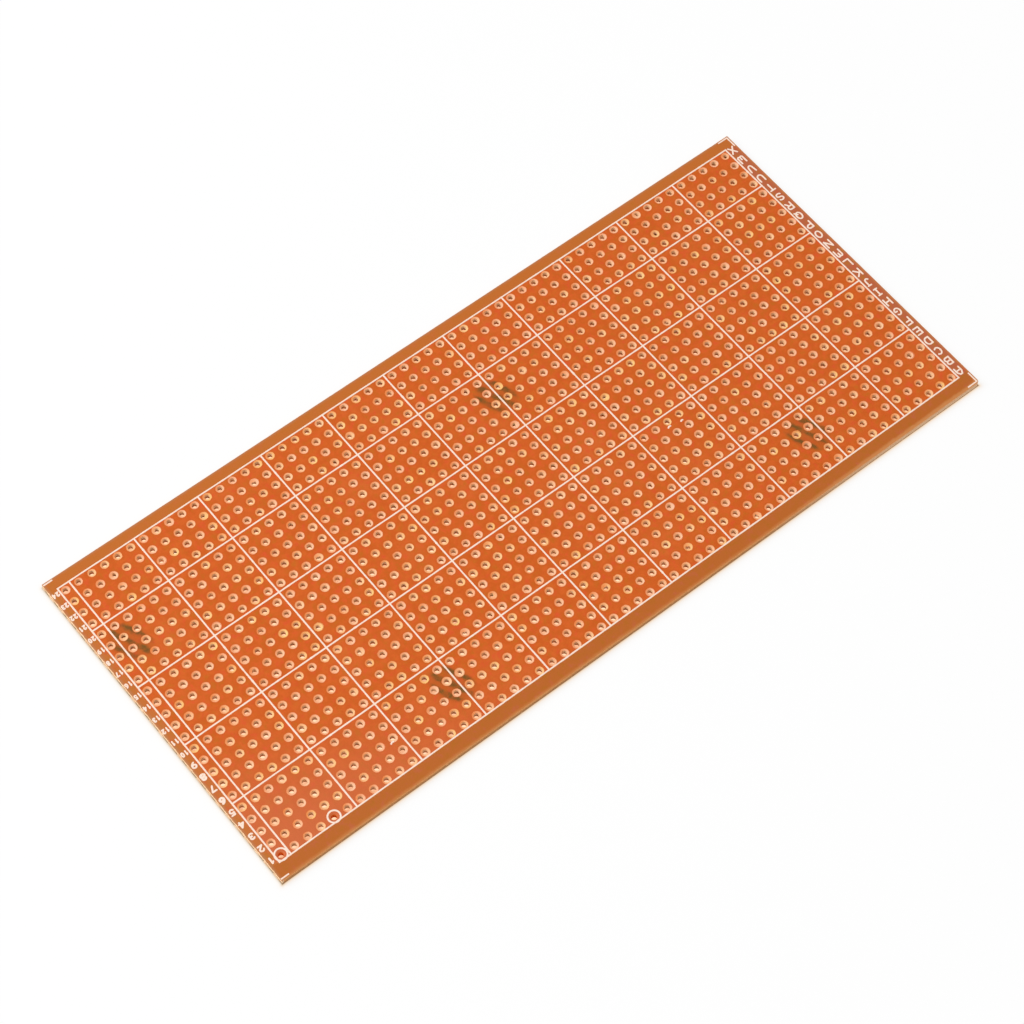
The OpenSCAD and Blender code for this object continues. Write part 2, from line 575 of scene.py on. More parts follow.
def sheared_edge():
    """The sheet's cut sides: the shears burnished the upper part and tore the plies below it, which
    is darker also as painted shade. The number end's side is painted paler, as lit by the lamp.
    """
    finish = Finish("sheared_edge", Roughness=0.75, Specular_IOR_Level=SATIN)
    x, y, z = finish.parts(finish.place)
    plies = finish.noise(0.11, detail=4.0, rough=0.65, stretch=(9.0, 9.0, 1.0))
    chips = finish.noise(0.5, rough=0.6)
    tear_line = z + (chips - 0.5) * 0.9
    middle = (under + face) / 2
    worn = finish.mix(past(tear_line, middle, (-0.1, 0.3)), EDGE_WORN, EDGE_WORN_TOP)
    worn_front = x.step(*WORN_FRONT) * past(y, sheet_low[1], (4.0, 0.4))
    # The number end's side painted paler as lit, tan at the top and greyer at the foot, partly as
    # painted shade; random chips elsewhere are crushed pale
    crushed_and_lit = finish.lay(
        EDGE_GREY,
        (past(tear_line, middle, (-0.35, -0.1)), EDGE_CREAM),
        (past(tear_line, face, (-0.2, -0.05)), EDGE_TAN),
    )
    at_numbers = past(x, sheet_low[0], (0.5, 0.2))
    # Below the tear line the side is darker: torn plies, and also painted shade towards its foot
    colour = finish.lay(
        EDGE_DEEP_SHADED,
        (plies.step(0.35, 0.62), EDGE_TORN),
        (past(tear_line, middle, (-0.1, 0.15)), EDGE_BURNISHED),
        (worn_front * (plies * 0.7 + 0.4), worn),
        (at_numbers * 0.9 + chips.step(0.58, 0.75) * 0.25, crushed_and_lit),
    )
    return finish.use(colour, None, plies * 0.7 + chips * 0.3, 0.06)


def pale_rim():
    """Resin whitened by the punch: cream at the hole, fading outwards, each rim with its own tone.

    The rim attribute holds the reach, from -1 at the foot of the lip over 0 at the hole to 1 at
    the outer edge, then the dullness and the warmth.
    """
    finish = Finish("whitened_rim", Roughness=0.6, Specular_IOR_Level=SATIN)
    traits = finish.add("ShaderNodeAttribute", {"attribute_name": "rim"}, output="Vector")
    reach, tone, warmth = finish.parts(traits)
    _, y, _ = finish.parts(finish.place)
    fibre = finish.noise(0.14, rough=0.6)
    # Painted shade: the lip's half towards the front edge takes the wall's shaded colour
    torn = past_axis(y, first_hole[1]).step(-0.05, -0.35) * reach.step(0.0, -0.35)
    colour = finish.lay(
        RIM_CREAM,
        (warmth, RIM_YELLOW),
        (tone, RIM_DULL),
        ((reach + (fibre - 0.5) * 0.4).step(0.66, 1.05), ORANGE),
        ((reach + (fibre - 0.5) * 0.3).step(0.05, -0.2), LIP),
        ((reach + (fibre - 0.5) * 0.5).step(-0.5, -1.0), WALL),
        (torn * 0.9, WALL_SHADE),
    )
    return finish.use(colour, None, fibre, 0.02)


def ink():
    """Screen-printed white ink, thin enough in places for the sheet to tint it."""
    finish = Finish("white_ink", Specular_IOR_Level=SATIN)
    patch = finish.noise(0.35, rough=0.6)
    colour = finish.mix(patch.step(0.5, 0.72) * 0.6, INK, INK_THIN)
    return finish.use(colour, patch * 0.2 + 0.42, patch, 0.008)


def copper(name):
    """Bright foil under a thin flux lacquer, with rolled grain and dull stains."""
    finish = Finish(name, Metallic=1.0, Coat_Weight=0.35, Coat_Roughness=0.15)
    stain = finish.noise(3.0, detail=4.0, rough=0.6)
    grain = finish.noise(0.05, detail=2.0, rough=0.5, stretch=(14.0, 1.0, 1.0))
    colour = finish.mix(stain.step(0.48, 0.75) * 0.7, COPPER, COPPER_DULL)
    return finish.use(colour, stain * 0.25 + grain * 0.12 + 0.12, grain, 0.004)


# ---- The sheet -------------------------------------------


# The funnel that the punch drew down round each hole: radius, and height against the face
FUNNEL_TOP = (0.74, -0.014)
FUNNEL_FOOT = (0.5, -0.09)

# The sheared sides, from the face down: the height as a share of the thickness, how far in the
# side stands, and how torn it is
SHEARED = np.array([
    [1.0, 0.05, 0.03],
    [0.955, 0.015, 0.02],
    [0.83, 0.01, 0.02],
    [0.5, 0.02, 0.05],
    [0.1, 0.0, 0.03],
    [0.0, 0.04, 0.04],
])

# The radius worn on one corner, and the places of the grid lines within it from each side
WORN_R = 0.6
BY_SIDE = np.array([0.0, 0.15, 0.35, WORN_R])

# The sheet's finishes, by their place in its list
ON_FACE, ON_UNDERSIDE, IN_HOLES, ON_SIDES = range(4)


def punched_field():
    """Each hole's square of sheet, along rays: in below, up the wall and funnel, and out on top."""
    centres, _ = hole_centres()
    circle, square = turn()
    foot, top = circle * FUNNEL_FOOT[0], circle * FUNNEL_TOP[0]
    outlines = [square * PITCH / 2, circle * hole_r, foot, top, square * PITCH / 2]
    heights = [under, under, face + FUNNEL_FOOT[1], face + FUNNEL_TOP[1], face]
    stations = len(heights)
    points = np.empty((len(centres), stations, SIDES, 3))
    for station, (outline, height) in enumerate(zip(outlines, heights)):
        points[:, station, :, :2] = centres[:, None] + outline
        points[:, station, :, 2] = height
    one = grid_quads(np.arange(stations * SIDES).reshape(stations, SIDES), wrap_second=True)
    quads = repeat_quads(one, stations * SIDES, len(centres))
    slots = np.repeat([ON_UNDERSIDE, IN_HOLES, ON_FACE, ON_FACE], SIDES)
    return points.reshape(-1, 3), quads, np.tile(slots, len(centres))


def margin_lines(axis):
    """Grid lines along one axis: close together by the sheared sides, else where rays end.

    A ray ends on its hole's square at the tangent of its angle from the middle of that side.
    """
    ends = np.tan(np.arange(-SIDES // 8, SIDES // 8) * 2 * math.pi / SIDES)
    cells = np.arange((columns, rows)[axis])[:, None] * PITCH + ends * PITCH / 2
    inner = np.append(first_hole[axis] + cells.ravel(), last_hole[axis] + PITCH / 2)
    return np.concatenate([sheet_low[axis] + BY_SIDE, inner, sheet_high[axis] - BY_SIDE[::-1]])


def worn(points):
    """Draws points in the letter end's front corner in onto the round that wear left there."""
    centre = np.array([sheet_high[0] - WORN_R, sheet_low[1] + WORN_R])
    away = points - centre
    outward = np.stack([np.maximum(away[..., 0], 0), np.minimum(away[..., 1], 0)], axis=-1)
    distance = np.linalg.norm(outward, axis=-1, keepdims=True)
    in_corner = (away[..., :1] > 0) & (away[..., 1:] < 0)
    pulled = centre + outward * np.minimum(1, WORN_R / np.maximum(distance, 1e-9))
    return np.where(in_corner, pulled, points)


def torn_side(outline):
    """The sheared profile under each outline point, drawn in square to the outline and torn."""
    along = np.roll(outline, -1, axis=0) - np.roll(outline, 1, axis=0)
    along /= np.linalg.norm(along, axis=1, keepdims=True)
    outward = np.stack([along[:, 1], -along[:, 0]], axis=1)
    level, inset, torn = SHEARED.T
    rng = np.random.default_rng(SHEARED_SEED)
    tear = rng.uniform(0, 1, (len(outline), len(SHEARED))) * torn
    side = np.empty((len(outline), len(SHEARED), 3))
    side[..., :2] = outline[:, None] - outward[:, None] * (inset + tear)[..., None]
    side[..., 2] = under + (face - under) * level
    return side


def margins_and_sides():
    """The margins above and below as grids without the punched field, and the sides between."""
    flat = worn(np.stack(np.meshgrid(margin_lines(0), margin_lines(1), indexing="ij"), axis=-1))
    nx, ny = flat.shape[:2]
    index = np.arange(nx * ny).reshape(nx, ny)
    rim = np.concatenate([index[:, 0], index[-1, 1:], index[-2::-1, -1], index[0, -2:0:-1]])
    side = torn_side(flat.reshape(-1, 2)[rim])

    shapes, quads, slots = [], [], []
    inner = slice(len(BY_SIDE), -len(BY_SIDE))
    keep = np.ones((nx - 1, ny - 1), bool)
    keep[inner, inner] = False
    cells = grid_quads(index)[keep.ravel()]
    margins = ((face, 0, ON_FACE, cells), (under, -1, ON_UNDERSIDE, cells[:, ::-1]))
    for order, (height, station, slot, turned) in enumerate(margins):
        points = np.concatenate([flat.reshape(-1, 2), np.full((nx * ny, 1), height)], axis=1)
        points[rim, :2] = side[:, station, :2]
        shapes.append(points)
        quads.append(turned + order * nx * ny)
        slots.append(np.full(len(turned), slot))
    wall = 2 * nx * ny + np.arange(side.shape[0] * side.shape[1]).reshape(side.shape[:2])
    shapes.append(side.reshape(-1, 3))
    quads.append(grid_quads(wall, wrap_first=True)[:, ::-1])
    slots.append(np.full(len(quads[-1]), ON_SIDES))
    return np.concatenate(shapes), np.concatenate(quads), np.concatenate(slots)


def build_sheet():
    """The sheet as one closed skin: the punched field and the rest, joined where they meet."""
    field, field_quads, field_slots = punched_field()
    rest, rest_quads, rest_slots = margins_and_sides()
    quads = np.concatenate([field_quads, rest_quads + len(field)])
    points, quads = weld(np.concatenate([field, rest]), quads)
    used, place = np.unique(quads, return_inverse=True)
    points, quads = points[used], place.reshape(-1, 4)
    finishes = [phenolic_face("phenolic_face", True), phenolic_face("phenolic_underside", False)]
    finishes += [punched_wall(), sheared_edge()]
    slots = np.concatenate([field_slots, rest_slots])
    piece = add_piece("phenolic_sheet", points, quads, finishes, slots)
    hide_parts("laminate")


# ---- The whitened rims -----------------------------------


# The skin over a funnel: its outer radius, and how deep it lies there, at its middle and at the
# hole, with the middle's share of the radius
RIM_R = 0.805
SKIN_DEPTHS = (0.003, 0.02, 0.06)
SKIN_MIDDLE = 0.785

# The lip into the hole: how far it stands in from the hole, its taper and its depth
BURR = 0.04
LIP_TAPER = 0.05
LIP_DEPTH = 0.72

# The lean of all rims, and the side on which all of them are duller
RIM_LEAN = np.array([0.008, -0.012])
RIM_DULL_SIDE = math.radians(125)

# How rims differ: the deviation, least and most of the radius and of the lean, and what the
# depths of the skin and of the lip are multiplied by
RIM_R_VARIES = (0.022, -0.045, 0.05)
LEAN_VARIES = (0.018, -0.036, 0.036)
DIP_RANGE = (0.7, 1.2)
LIP_RANGE = (0.6, 1.15)

# At a rim's four stations, which are the lip's foot, the outer edge, the middle and the hole: the
# reach that the finish reads, and how ragged the rim is
RIM_REACH = np.array([-1.0, 1.0, 0.5, 0.0])
RIM_RAGGED = np.array([0.004, 0.018, 0.01, 0.006])

# The share of the rims with a flake, and how far flakes reach in
FLAKED = 0.05
FLAKE_RANGE = (0.12, 0.4)

# How dull a rim is by its side and by chance, and how warm it may be
DULL_BY_SIDE = 0.62
DULL_BY_CHANCE = 0.5
WARMEST = 0.9


def vary(rng, shape, deviation, least, most):
    """Normal random values round 0, cut off at the least and the most."""
    return rng.normal(0, deviation, shape).clip(least, most)


def rim_profiles(rng, count):
    """Each rim's four stations as radius, shift in x and y, and height."""
    outer = RIM_R + vary(rng, count, *RIM_R_VARIES)
    lean = RIM_LEAN + vary(rng, (count, 2), *LEAN_VARIES)
    dip = rng.uniform(*DIP_RANGE, count)
    depth = LIP_DEPTH * rng.uniform(*LIP_RANGE, count)
    hole = np.full(count, hole_r - BURR)
    still = np.zeros((count, 2))
    at_edge, at_middle, at_hole = SKIN_DEPTHS
    return np.stack([
        np.column_stack([hole - LIP_TAPER, still, face - depth]),
        np.column_stack([outer, lean, np.full(count, face - at_edge)]),
        np.column_stack([outer * SKIN_MIDDLE, lean * 0.5, face - at_middle * dip]),
        np.column_stack([hole, still, face - at_hole * dip]),
    ], axis=1)


def ragged_rims(rng, count):
    """What each point adds to its rim's radius: a little by chance, and a flake's reach inwards.

    A flake reaches in as the sixth power of the cosine of half the angle from where it points.
    """
    ragged = rng.normal(0, 1, (count, len(RIM_RAGGED), SIDES)) * RIM_RAGGED[:, None]
    flake = rng.uniform(*FLAKE_RANGE, count) * (rng.uniform(0, 1, count) < FLAKED)
    pointing = rng.uniform(0, 2 * math.pi, (count, 1))
    inwards = flake[:, None] * np.cos((angles(SIDES) - pointing) / 2) ** 6
    ragged[:, (0, 3)] -= inwards[:, None]
    return ragged


def rim_traits(rng, count):
    """Each point's reach, dullness and warmth, for the finish."""
    one_side = 0.5 + 0.5 * np.cos(angles(SIDES) - RIM_DULL_SIDE)
    by_chance = rng.beta(2, 3, count)[:, None, None]
    dull = (DULL_BY_SIDE * one_side + by_chance * DULL_BY_CHANCE).clip(0, 1)
    warm = (rng.uniform(0, 1, count) ** 3)[:, None, None] * WARMEST
    shape = (count, len(RIM_REACH), SIDES)
    traits = [np.broadcast_to(trait, shape) for trait in (RIM_REACH[:, None], dull, warm)]
    return np.stack(traits, axis=-1).reshape(-1, 3)


def build_rims():
    """Whitened skins over the funnels and down into the holes, each of its own width and tone.

    All rims lean the same way, and all are duller on the same side. A few holes still have a
    flake of torn paper that reaches in over them. Circled holes have no rim.
    """
    centres, numbers = hole_centres()
    circled = (numbers[:, 1] == 0) & np.isin(numbers[:, 0], CIRCLED)
    centres = centres[~circled]
    count = len(centres)
    rng = np.random.default_rng(RIMS_SEED)
    profiles = rim_profiles(rng, count)
    points, quads = rings(centres, profiles, ragged_rims(rng, count))
    traits = ("rim", rim_traits(rng, count))
    add_piece("punched_rims", points, quads, [pale_rim()], attribute=traits)


# ---- Copper ----------------------------------------------


# How far the etchant undercut the foil's edges
ETCH_TAPER = 0.02


def build_copper_rings():
    """Etched rings on the underside: straight inside, and tapered outside by the etchant."""
    centres, _ = hole_centres()
    count = len(centres)
    shape = np.array([
        [hole_r, 0.0, 0.0, under],
        [hole_r, 0.0, 0.0, ring_box[0][2]],
        [ring_r, 0.0, 0.0, ring_box[0][2]],
        [ring_r - ETCH_TAPER, 0.0, 0.0, under],
    ])
    points, quads = rings(centres, np.broadcast_to(shape, (count, *shape.shape)))
    piece = add_piece("copper_ring_foil", points, quads[:, ::-1], [copper("ring_copper")])
    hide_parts("copper_rings")


# A rail's points along the board, and how far and how often its etched sides waver
RAIL_STEP = 0.5
RAIL_WAVE = 0.02
RAIL_WAVE_SPACING = 1.5


def build_rails():
    """Copper strips along the long edges, their etched sides slightly wavy."""
    for seed, (name, (low, high)) in enumerate(rail_boxes.items()):
        rng = np.random.default_rng(RAILS_SEED + seed)
        length = high[0] - low[0]
        x = np.linspace(low[0], high[0], int(length / RAIL_STEP))
        wave = smooth_noise(rng, length, RAIL_WAVE_SPACING, x - low[0])
        path = np.stack([x, np.full(len(x), (low[1] + high[1]) / 2)], axis=1)
        width = high[1] - low[1] - RAIL_WAVE * (1 + wave)
        points, quads = ribbon(path, width, under, low[2], ETCH_TAPER)
        piece = add_piece(name + "_foil", points, quads, [copper(name + "_copper")])
        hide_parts(name)


# ---- Print -----------------------------------------------


# A printed line: its points' spacing, how far it wanders and how often, the share by which its
# width wavers and how often, and its knots' mean spacing, reach and share of extra width
LINE_STEP = 0.22
WANDER, WANDER_SPACING = 0.012, 2.5
WAVER, WAVER_SPACING = 0.1, 0.45
KNOT_SPACING, KNOT_REACH, KNOT_SWELL = 45, 0.2, 0.35

# A stroke's round ends: points in each, and the share of the width kept at the tip
CAP_POINTS = 3
CAP_TIP = 0.25


def ink_line(start, end, width, lift, rng):
    """A printed line: it wanders, its width wavers, and it swells in a bell curve at each knot."""
    start, end = np.array(start, float), np.array(end, float)
    length = np.linalg.norm(end - start)
    steps = max(int(length / LINE_STEP), 3)
    along = np.linspace(0, length, steps)
    direction = (end - start) / length
    normal = np.array([-direction[1], direction[0]])
    wander = smooth_noise(rng, length, WANDER_SPACING, along) * WANDER
    waver = smooth_noise(rng, length, WAVER_SPACING, along) * WAVER
    knots = rng.uniform(0, length, rng.poisson(length / KNOT_SPACING))
    swell = np.exp(-(((along[:, None] - knots) / KNOT_REACH) ** 2)).sum(axis=1) * KNOT_SWELL
    path = start + direction * along[:, None] + normal * wander[:, None]
    return ribbon(path, width * (1 + waver + swell), face, lift, INK_BEVEL)


def stroke(path, width, lift):
    """A drawn stroke with round ends: half circles past the path's first and last point."""
    path = np.asarray(path, float)
    pieces, widths = [], []
    ease = np.sin(np.linspace(0, math.pi / 2, CAP_POINTS + 1))[:-1]
    for end, inner, flip in ((path[0], path[1], 1), (path[-1], path[-2], -1)):
        away = (end - inner) / np.linalg.norm(end - inner)
        out = np.sqrt(1 - ease**2) * width / 2
        pieces.append((end + away * out[:, None])[::flip])
        widths.append((width * np.maximum(ease, CAP_TIP))[::flip])
    whole = np.concatenate([pieces[0], path, pieces[1]])
    widths = np.concatenate([widths[0], np.full(len(path), width), widths[1]])
    return ribbon(whole, widths, face, lift, INK_BEVEL)


def printed_circle(column):
    """The circle round a hole of the first row: a closed ribbon along even angles."""
    angle = angles(CIRCLE_POINTS)
    centre = first_hole + [column * PITCH + PRINT_SHIFT, PRINT_SHIFT]
    path = centre + CIRCLE_R * np.stack([np.cos(angle), np.sin(angle)], axis=1)
    return ribbon(path, CIRCLE_W, face, ink_top - INK_STEP, INK_BEVEL, closed=True)


def corner_marks(rng):
    """L marks in the corners. The shears took the upright arms at the number end."""
    lift = ink_top - 3 * INK_STEP
    left, right = sheet_low[0] - MARK_OVERHANG, sheet_high[0] - MARK_INSET
    front, back = sheet_low[1] + MARK_INSET, sheet_high[1] - MARK_INSET
    kept = sheet_low[0] + MARK_CLEAR
    shapes = []
    for y, inwards, arm in ((front, 1, MARK_ARM), (back, -1, MARK_ARM_FAR)):
        tip = y + inwards * MARK_ARM_UPRIGHT
        outer = right + MARK_W / 2
        shapes.append(ink_line((kept, y), (left + arm, y), MARK_W, lift, rng))
        shapes.append(ink_line((right - MARK_ARM_FAR, y), (outer, y), MARK_W, lift, rng))
        shapes.append(ink_line((right, y), (right, tip), MARK_W, lift - 2 * INK_STEP, rng))
    return shapes


def build_guide_lines():
    """The frame, the block lines, the circled holes, the corner marks and the specks."""
    rng = np.random.default_rng(LINES_SEED)
    low, high = frame_low, frame_high
    reach = LINE_W / 2
    upright = ink_top - 2 * INK_STEP
    block_xs = first_hole[0] + (np.arange(1, columns, BLOCK) - 0.5) * PITCH + PRINT_SHIFT
    block_ys = first_hole[1] + (np.arange(BLOCK, rows, BLOCK) - 0.5) * PITCH + PRINT_SHIFT
    shapes = []
    for y in (low[1], high[1]):
        shapes.append(ink_line((low[0] - reach, y), (high[0] + reach, y), LINE_W, ink_top, rng))
    for x in (low[0], high[0], *block_xs):
        shapes.append(ink_line((x, low[1]), (x, high[1]), LINE_W, upright, rng))
    for y in block_ys:
        shapes.append(ink_line((low[0], y), (high[0], y), LINE_W, ink_top, rng))
    shapes += [printed_circle(column) for column in CIRCLED]
    shapes += corner_marks(rng)
    for x, y, length in SPECKS:
        path = first_hole + [x, y] + SPECK_SHAPE * length
        shapes.append(stroke(path, SPECK_W, ink_top - 4 * INK_STEP))
    points, quads = join(shapes)
    piece = add_piece("guide_lines", points, quads, [ink()])
    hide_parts("guide_print")


# ---- Row numbers and row letters -------------------------


def bow(centre_x, centre_y, radius_x, radius_y, start, end, steps=9):
    """Points along an ellipse from one angle to another, in degrees."""
    angle = np.radians(np.linspace(start, end, steps))
    x = centre_x + radius_x * np.cos(angle)
    y = centre_y + radius_y * np.sin(angle)
    return np.stack([x, y], axis=1)


def line(*numbers):
    """Straight strokes through the points given as x, y, x, y."""
    points = np.reshape(numbers, (-1, 2)).astype(float)
    return [points[i : i + 2] for i in range(len(points) - 1)]


# Each sign is a list of strokes in a box from (0, 0) to (1, 1).
SIGNS = {
    "0": [bow(0.5, 0.5, 0.45, 0.5, 90, 450, 17)],
    "1": line(0.25, 0.78, 0.55, 1, 0.55, 0),
    "2": [bow(0.5, 0.7, 0.42, 0.3, 170, -40), *line(0.82, 0.5, 0.08, 0, 0.95, 0)],
    "3": [bow(0.45, 0.74, 0.4, 0.26, 150, -90), bow(0.45, 0.26, 0.45, 0.26, 90, -150)],
    "4": line(0.75, 0, 0.75, 1, 0.05, 0.3, 1, 0.3),
    "5": [*line(0.9, 1, 0.2, 1, 0.15, 0.55), bow(0.45, 0.32, 0.45, 0.32, 130, -150)],
    "6": [bow(0.5, 0.3, 0.42, 0.3, 90, 450, 13), bow(0.95, 0.3, 0.87, 0.7, 180, 105)],
    "7": line(0.05, 1, 0.95, 1, 0.35, 0),
    "8": [bow(0.5, 0.75, 0.36, 0.25, 90, 450, 13), bow(0.5, 0.25, 0.45, 0.25, 90, 450, 13)],
    "9": [bow(0.5, 0.7, 0.42, 0.3, 90, 450, 13), bow(0.05, 0.7, 0.87, 0.7, 0, -75)],
    "A": [*line(0, 0, 0, 0.62, 0.32, 1, 0.68, 1, 1, 0.62, 1, 0), *line(0, 0.42, 1, 0.42)],
    "B": [*line(0, 0, 0, 1), *line(0, 1, 0.6, 1), bow(0.6, 0.76, 0.34, 0.24, 90, -90),
          *line(0, 0.52, 0.62, 0.52), bow(0.62, 0.26, 0.38, 0.26, 90, -90), *line(0.62, 0, 0, 0)],
    "C": [bow(0.52, 0.5, 0.52, 0.5, 50, 310, 15)],
    "D": [*line(0, 0, 0, 1, 0.5, 1), bow(0.5, 0.5, 0.5, 0.5, 90, -90, 13), *line(0.5, 0, 0, 0)],
    "E": [*line(1, 1, 0, 1, 0, 0, 1, 0), *line(0, 0.52, 0.8, 0.52)],
    "F": [*line(1, 1, 0, 1, 0, 0), *line(0, 0.52, 0.8, 0.52)],
    "G": [bow(0.52, 0.5, 0.52, 0.5, 50, 330, 15), *line(0.98, 0.25, 0.98, 0.45, 0.6, 0.45)],
    "H": [*line(0, 0, 0, 1), *line(1, 0, 1, 1), *line(0, 0.5, 1, 0.5)],
    "I": [*line(0.5, 0, 0.5, 1), *line(0.2, 1, 0.8, 1), *line(0.2, 0, 0.8, 0)],
    "J": [*line(0.35, 1, 0.95, 1), *line(0.75, 1, 0.75, 0.3), bow(0.4, 0.3, 0.35, 0.3, 0, -150)],
    "K": [*line(0, 0, 0, 1), *line(0.95, 1, 0, 0.42), *line(0.3, 0.6, 1, 0)],
    "L": line(0, 1, 0, 0, 1, 0),
    "M": [*line(0, 0, 0, 0.85), bow(0.25, 0.8, 0.25, 0.2, 180, 0), *line(0.5, 0.85, 0.5, 0.5),
          bow(0.75, 0.8, 0.25, 0.2, 180, 0), *line(1, 0.85, 1, 0)],
    "N": line(0, 0, 0, 1, 1, 0, 1, 1),
    "O": [bow(0.5, 0.5, 0.5, 0.5, 90, 450, 19)],
    "P": [*line(0, 0, 0, 1, 0.6, 1), bow(0.6, 0.74, 0.4, 0.26, 90, -90), *line(0.6, 0.48, 0, 0.48)],
    "Q": [bow(0.5, 0.5, 0.5, 0.5, 90, 450, 19), *line(0.6, 0.3, 1, -0.05)],
    "R": [*line(0, 0, 0, 1, 0.6, 1), bow(0.6, 0.74, 0.4, 0.26, 90, -90), *line(0.6, 0.48, 0, 0.48),
          *line(0.55, 0.48, 1, 0)],
    "S": [bow(0.5, 0.75, 0.46, 0.25, 30, 270), bow(0.5, 0.25, 0.48, 0.25, 90, -150)],
    "T": [*line(0, 1, 1, 1), *line(0.5, 1, 0.5, 0)],
    "U": [*line(0, 1, 0, 0.4), bow(0.5, 0.4, 0.5, 0.4, 180, 360, 13), *line(1, 0.4, 1, 1)],
    "V": [*line(0, 1, 0.12, 0.35), bow(0.5, 0.35, 0.38, 0.35, 180, 360, 11),
          *line(0.88, 0.35, 1, 1)],
    "W": [*line(0, 1, 0, 0.15), bow(0.25, 0.2, 0.25, 0.2, 180, 360), *line(0.5, 0.5, 0.5, 0.15),
          bow(0.75, 0.2, 0.25, 0.2, 180, 360), *line(1, 0.15, 1, 1)],
    "X": [*line(0, 1, 1, 0), *line(0, 0, 1, 1)],
}


# How far the signs' middles are outside the end holes, and half the way between two digits
NUMBERS_OUT = 1.72
LETTERS_OUT = 1.93
DIGITS_APART = 0.34

# Each kind of sign: its width and height, how far it stands off its row, and its stroke
SINGLE, SINGLE_OFF, SINGLE_W = (0.78, 0.97), 0.08, 0.32
DOUBLE, DOUBLE_OFF, DOUBLE_W = (0.4, 0.74), 0.06, 0.26
LETTER, LETTER_OFF, LETTER_W = (0.98, 1.43), 0.09, 0.3

# The ink ran together inside these row numbers
BLOTTED = ("6", "8")
BLOTTED_W = 0.42

# The strokes of a sign take turns at this many heights, this far apart
SIGN_HEIGHTS = 4
SIGN_STEP = 0.0015


def sign(letter, middle, size, width):
    """One sign turned half round on the board: its own up runs towards the front edge."""
    shapes = []
    for order, path in enumerate(SIGNS[letter]):
        placed = np.asarray(middle) - (path - 0.5) * np.asarray(size)
        height = ink_top - SIGN_STEP * (order % SIGN_HEIGHTS)
        if np.allclose(placed[0], placed[-1]):
            shapes.append(ribbon(placed[:-1], width, face, height, INK_BEVEL, closed=True))
        else:
            shapes.append(stroke(placed, width, height))
    return shapes


def row_number(text, x, y):
    """A row's number, of one large digit or two small ones side by side."""
    if len(text) == 1:
        width = BLOTTED_W if text in BLOTTED else SINGLE_W
        return sign(text, (x, y + SINGLE_OFF), SINGLE, width)
    tens = sign(text[0], (x + DIGITS_APART, y + DOUBLE_OFF), DOUBLE, DOUBLE_W)
    return tens + sign(text[1], (x - DIGITS_APART, y + DOUBLE_OFF), DOUBLE, DOUBLE_W)


def build_row_signs():
    """Row numbers at one end of the board and row letters at the other, at each row's height."""
    numbers, letters = [], []
    for row in range(rows):
        y = first_hole[1] + row * PITCH + PRINT_SHIFT
        numbers += row_number(str(row + 1), first_hole[0] - NUMBERS_OUT, y)
        middle = (last_hole[0] + LETTERS_OUT, y + LETTER_OFF)
        letters += sign(chr(ord("A") + row), middle, LETTER, LETTER_W)
    for name, shapes in (("row_numbers", numbers), ("row_letters", letters)):
        points, quads = join(shapes)
        add_piece(name, points, quads, [ink()])


# ---- Stage -----------------------------------------------


# Rays that see the floor and the surround in their own brightness, not in the light on them
PLAIN_RAYS = ("Is Camera Ray", "Is Glossy Ray", "Is Transmission Ray")

# The floor's half width and its drop below the board, in metres
FLOOR_REACH = 6.0
FLOOR_DROP = 0.00002

# The lit floor far from the board, and next to it tinted with a painted warm glow from the orange
# sheet
LIT = (0.97, 0.97, 0.97, 1)
LIT_WARM_GLOW = (0.98, 0.8, 0.66, 1)

# The floor as it is seen: plain, and painted shadow: warm near the board, darker where it touches
# it and by the number end
SEEN = (1, 1, 1, 1)
SEEN_WARM_SHADOW = (0.97, 0.66, 0.36, 1)
SEEN_CONTACT_SHADOW = (0.7, 0.5, 0.3, 1)
SEEN_NUMBERS_SHADOW = (0.5, 0.44, 0.3, 1)

# How fast the last three fade with the distance from the board, per millimetre
NEAR_FADE = 3.6
TOUCHING_FADE = 12.0
NUMBERS_FADE = 7.0

# The share of the painted warm shadow that is left away from the front side
AWAY_FROM_FRONT = 0.55

# Light through the sheet and the holes, as the floor shows it: two tones, and where it is shaded
GLOW_DEEP = (1.0, 0.5, 0.28, 1)
GLOW_PALE = (1.35, 0.84, 0.54, 1)
GLOW_SHADED = (0.28, 0.13, 0.07, 1)

# One side of each hole's axis is shaded: along this direction, the floor is lit above the first
# distance and shaded below the second
GLOW_SIDE = (0.64, 0.77)
GLOW_EDGE = (0.24, -0.16)

# How much of the floor is seen in its own brightness: by the board, and what is added below the
# board and far away, between these distances
SEEN_SHARE = 0.88
SEEN_BELOW = 0.07
SEEN_FAR = 0.12
FAR = (30.0, 300.0)

# The lamp, in metres and watts, and the surround's strength as light and as it is seen
LAMP_PLACE = np.array([-0.72, 0.54, 0.79])
LAMP_SIZE = 0.6
LAMP_POWER = 9.4
SURROUND_LIGHT = 0.6
SURROUND_SEEN = 1.0

# The camera: where it looks, in metres, from how far, from which way, and its lens
VIEW_AIM = np.array([-0.00484, -0.00369, face * MM])
VIEW_DISTANCE = 0.472
VIEW_AZIMUTH = math.radians(39.64)
VIEW_ELEVATION = math.radians(60.39)
VIEW_ROLL = math.radians(1.246)
SENSOR_WIDTH = 36
LENS = 101.5


def board_distance(x, y):
    """Distance from the sheet's outline, and 0 below the sheet."""
    past_x = (abs(x) - sheet_high[0]).math("MAXIMUM", 0.0)
    past_y = (abs(y) - sheet_high[1]).math("MAXIMUM", 0.0)
    return (past_x * past_x + past_y * past_y) ** 0.5


def fading(distance, rate):
    """1 at no distance, and falling off exponentially."""
    return (distance * -rate).math("EXPONENT")


